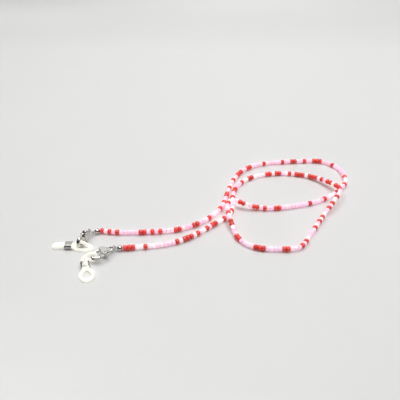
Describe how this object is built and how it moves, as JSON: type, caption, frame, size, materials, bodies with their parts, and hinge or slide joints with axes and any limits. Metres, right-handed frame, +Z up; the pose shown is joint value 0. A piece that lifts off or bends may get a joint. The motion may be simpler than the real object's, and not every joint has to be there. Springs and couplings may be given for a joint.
{
  "type": "beaded eyeglass retainer strap",
  "caption": "Beaded eyeglass retainer strap laid out flat, with a jump ring, a lobster clasp and a clear silicone temple loop with a coil slider at each end.",
  "frame": {"origin": "middle of the laid strap, on the surface it lies on", "axes": "+Z up, square to the surface it lies on; +X towards the strand's folded middle; -X towards the clasps and silicone loops"},
  "size_m": [0.1756, 0.1102, 0.0073],
  "materials": {
    "bead_red": "opaque red pressed glass, glossy",
    "bead_pink": "translucent pale pink and pearl glass, glossy",
    "thread": "fine twisted nylon",
    "steel": "polished stainless steel",
    "spring": "plain drawn spring wire",
    "silicone": "clear silicone, slightly yellow, satin"
  },
  "bodies": {
    "strand": {"thread": "thread", "bead_run_01": "bead_red", "bead_run_02": "bead_pink", "bead_run_03": "bead_pink", "bead_run_04": "bead_red", "bead_run_05": "bead_pink", "bead_run_06": "bead_pink", "bead_run_07": "bead_red", "bead_run_08": "bead_pink", "bead_run_09": "bead_pink", "bead_run_10": "bead_red", "bead_run_11": "bead_pink", "bead_run_12": "bead_pink", "bead_run_13": "bead_red", "bead_run_14": "bead_pink", "bead_run_15": "bead_pink", "bead_run_16": "bead_red", "bead_run_17": "bead_pink", "bead_run_18": "bead_pink", "bead_run_19": "bead_red", "bead_run_20": "bead_pink", "bead_run_21": "bead_pink", "bead_run_22": "bead_red", "bead_run_23": "bead_pink", "bead_run_24": "bead_pink", "bead_run_25": "bead_red", "bead_run_26": "bead_pink", "bead_run_27": "bead_pink", "crimp_cover_a": "steel", "crimp_tube_a": "steel", "thread_loop_a": "thread", "crimp_cover_b": "steel", "crimp_tube_b": "steel", "thread_loop_b": "thread"},
    "ring_a": {"jump_ring_a": "steel"},
    "clasp_a": {"clasp_body_a": "steel", "trigger_pin_a": "steel", "trigger_spring_a": "spring"},
    "trigger_a": {"clasp_trigger_a": "steel"},
    "temple_loop_a": {"silicone_loop_a": "silicone"},
    "slider_a": {"coil_slider_a": "steel"},
    "ring_b": {"jump_ring_b": "steel"},
    "clasp_b": {"clasp_body_b": "steel", "trigger_pin_b": "steel", "trigger_spring_b": "spring"},
    "trigger_b": {"clasp_trigger_b": "steel"},
    "temple_loop_b": {"silicone_loop_b": "silicone"},
    "slider_b": {"coil_slider_b": "steel"}
  },
  "joints": [
    {"name": "ring_swing_a", "type": "hinge", "parent": "strand", "child": "ring_a", "pos_m": [-0.0679, -0.0194, 0.0016], "axis": [0, 0, 1], "range_deg": [-25, 2]},
    {"name": "clasp_swing_a", "type": "hinge", "parent": "ring_a", "child": "clasp_a", "pos_m": [-0.0696, -0.02128, 0.00355], "axis": [0, 0, 1], "range_deg": [-20, 0]},
    {"name": "trigger_press_a", "type": "hinge", "parent": "clasp_a", "child": "trigger_a", "pos_m": [-0.07089, -0.02485, 0.00522], "axis": [0.9397, -0.342, 0], "range_deg": [0, 26], "stiffness_Nm_per_rad": 0.012},
    {"name": "loop_swing_a", "type": "hinge", "parent": "clasp_a", "child": "temple_loop_a", "pos_m": [-0.07239, -0.02896, 0.00355], "axis": [0.9397, -0.342, 0], "range_deg": [-30, 15]},
    {"name": "slider_travel_a", "type": "slide", "parent": "temple_loop_a", "child": "slider_a", "axis": [-1, 0, 0], "range_m": [0, 0.003]},
    {"name": "ring_swing_b", "type": "hinge", "parent": "strand", "child": "ring_b", "pos_m": [-0.05343, -0.03224, 0.0016], "axis": [0, 0, 1], "range_deg": [-10, 15]},
    {"name": "clasp_swing_b", "type": "hinge", "parent": "ring_b", "child": "clasp_b", "pos_m": [-0.05579, -0.03389, 0.003], "axis": [0, 0, 1], "range_deg": [-10, 15]},
    {"name": "trigger_press_b", "type": "hinge", "parent": "clasp_b", "child": "trigger_b", "pos_m": [-0.05763, -0.03761, 0.003], "axis": [0, 0, -1], "range_deg": [0, 26], "stiffness_Nm_per_rad": 0.012},
    {"name": "loop_swing_b", "type": "hinge", "parent": "clasp_b", "child": "temple_loop_b", "pos_m": [-0.06205, -0.03914, 0.003], "axis": [0, 0, -1], "range_deg": [-25, 30]},
    {"name": "slider_travel_b", "type": "slide", "parent": "temple_loop_b", "child": "slider_b", "axis": [0.309, -0.9511, 0], "range_m": [0, 0.004], "deforming": ["silicone_loop_b"]}
  ]
}
